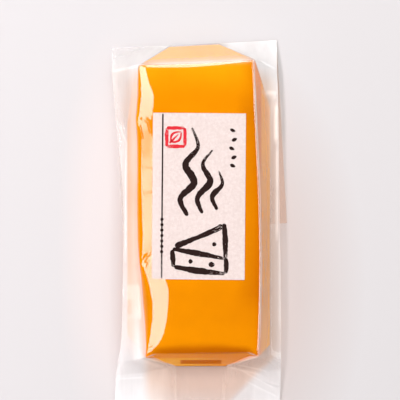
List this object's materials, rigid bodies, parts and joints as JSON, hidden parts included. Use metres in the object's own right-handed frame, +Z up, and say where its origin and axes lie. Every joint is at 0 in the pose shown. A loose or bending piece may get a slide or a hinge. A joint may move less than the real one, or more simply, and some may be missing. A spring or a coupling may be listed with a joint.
{
  "type": "smoked cheese in a film pack",
  "caption": "Flat slab of smoked cheese sealed in a clear film pack with a plain paper label, lying on its back.",
  "frame": {"origin": "under the middle of the whole pack, on the surface that it lies on", "axes": "+X to the right of the label, +Y along the slab towards the folded end of the film, +Z up through the label"},
  "size_m": [0.0734, 0.163, 0.013],
  "materials": {
    "cheese": "smooth amber smoked cheese under clear film",
    "film": "clear glossy packing film with creases",
    "paper": "matte fibrous label paper",
    "ink": "matte black brush ink",
    "stamp": "matte red stamp ink"
  },
  "bodies": {
    "root": {"film_pack": "cheese", "label": "paper"}
  },
  "joints": []
}
